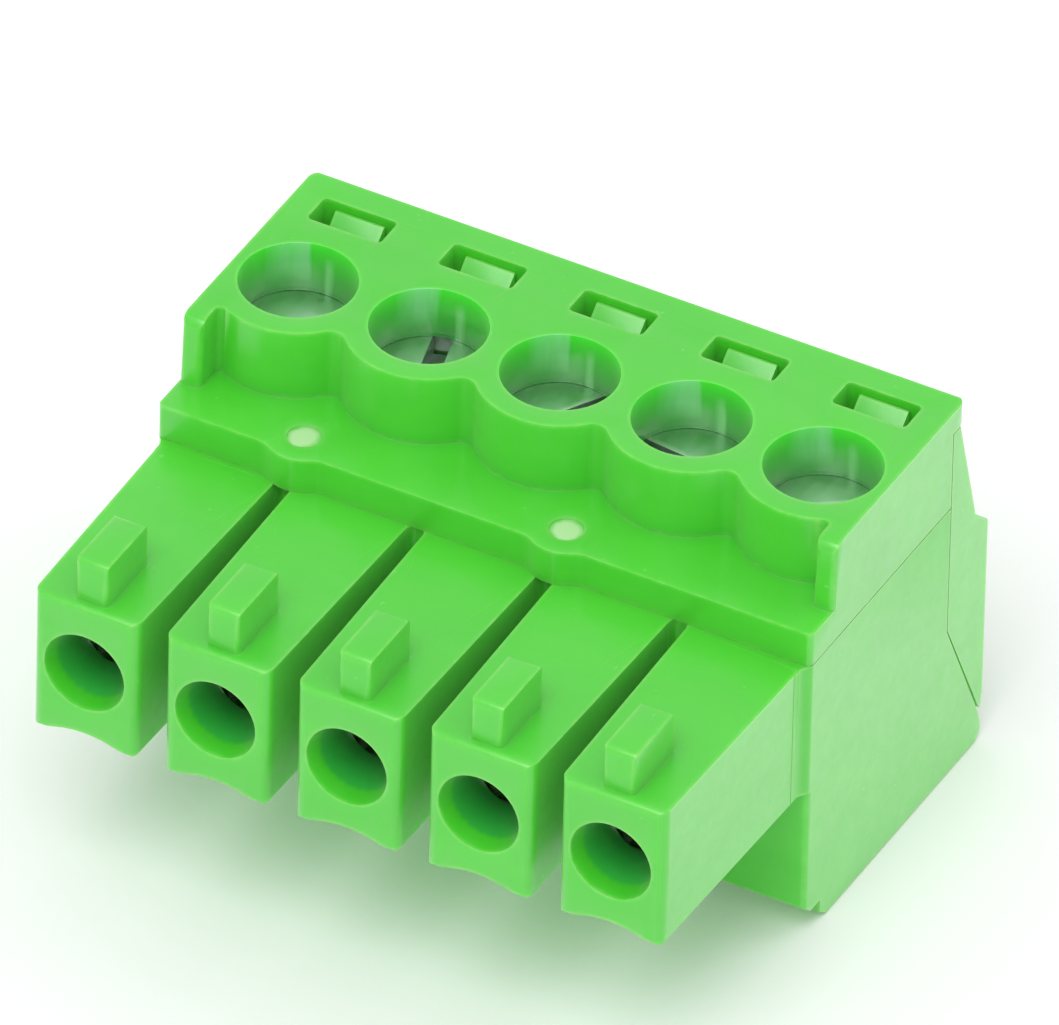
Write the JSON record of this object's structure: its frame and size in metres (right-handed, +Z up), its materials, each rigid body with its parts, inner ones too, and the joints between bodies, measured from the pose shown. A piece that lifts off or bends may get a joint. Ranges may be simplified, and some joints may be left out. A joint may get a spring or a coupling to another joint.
{
  "type": "pluggable terminal block",
  "caption": "Pluggable screw terminal block with a stepped plastic body, round screwdriver holes on top, rear wire entries and plug-in contact fingers at the front.",
  "frame": {"origin": "centre of the bounding box at the underside", "axes": "+X along the row of poles, +Y towards the wire entries, +Z up; the mating fingers point along -Y"},
  "size_m": [0.0174, 0.0154, 0.011],
  "materials": {
    "housing_plastic": "satin",
    "screw_metal": "plated",
    "cage_metal": "plated",
    "contact_metal": "tin plated"
  },
  "bodies": {
    "housing": {"lower_housing": "housing_plastic", "screw_cover": "housing_plastic", "wire_frame": "housing_plastic", "contact_1": "contact_metal", "contact_2": "contact_metal", "contact_3": "contact_metal", "contact_4": "contact_metal", "contact_5": "contact_metal"},
    "screw_1": {"clamp_screw_1": "screw_metal"},
    "cage_1": {"clamp_cage_1": "cage_metal"},
    "screw_2": {"clamp_screw_2": "screw_metal"},
    "cage_2": {"clamp_cage_2": "cage_metal"},
    "screw_3": {"clamp_screw_3": "screw_metal"},
    "cage_3": {"clamp_cage_3": "cage_metal"},
    "screw_4": {"clamp_screw_4": "screw_metal"},
    "cage_4": {"clamp_cage_4": "cage_metal"},
    "screw_5": {"clamp_screw_5": "screw_metal"},
    "cage_5": {"clamp_cage_5": "cage_metal"}
  },
  "joints": [
    {"name": "screw_turn_1", "type": "hinge", "parent": "housing", "child": "screw_1", "pos_m": [-0.007, 0.00249, 0.00815], "axis": [0, 0, -1], "range_deg": [0, 1800]},
    {"name": "cage_lift_1", "type": "slide", "parent": "housing", "child": "cage_1", "axis": [0, 0, 1], "range_m": [0, 0.002]},
    {"name": "screw_turn_2", "type": "hinge", "parent": "housing", "child": "screw_2", "pos_m": [-0.0035, 0.00249, 0.00815], "axis": [0, 0, -1], "range_deg": [0, 1800]},
    {"name": "cage_lift_2", "type": "slide", "parent": "housing", "child": "cage_2", "axis": [0, 0, 1], "range_m": [0, 0.002]},
    {"name": "screw_turn_3", "type": "hinge", "parent": "housing", "child": "screw_3", "pos_m": [0, 0.00249, 0.00815], "axis": [0, 0, -1], "range_deg": [0, 1800]},
    {"name": "cage_lift_3", "type": "slide", "parent": "housing", "child": "cage_3", "axis": [0, 0, 1], "range_m": [0, 0.002]},
    {"name": "screw_turn_4", "type": "hinge", "parent": "housing", "child": "screw_4", "pos_m": [0.0035, 0.00249, 0.00815], "axis": [0, 0, -1], "range_deg": [0, 1800]},
    {"name": "cage_lift_4", "type": "slide", "parent": "housing", "child": "cage_4", "axis": [0, 0, 1], "range_m": [0, 0.002]},
    {"name": "screw_turn_5", "type": "hinge", "parent": "housing", "child": "screw_5", "pos_m": [0.007, 0.00249, 0.00815], "axis": [0, 0, -1], "range_deg": [0, 1800]},
    {"name": "cage_lift_5", "type": "slide", "parent": "housing", "child": "cage_5", "axis": [0, 0, 1], "range_m": [0, 0.002]}
  ],
  "couplings": [
    {"joint": "screw_turn_1", "follows": "cage_lift_1", "rad_per_m": 15707},
    {"joint": "screw_turn_2", "follows": "cage_lift_2", "rad_per_m": 15707},
    {"joint": "screw_turn_3", "follows": "cage_lift_3", "rad_per_m": 15707},
    {"joint": "screw_turn_4", "follows": "cage_lift_4", "rad_per_m": 15707},
    {"joint": "screw_turn_5", "follows": "cage_lift_5", "rad_per_m": 15707}
  ]
}
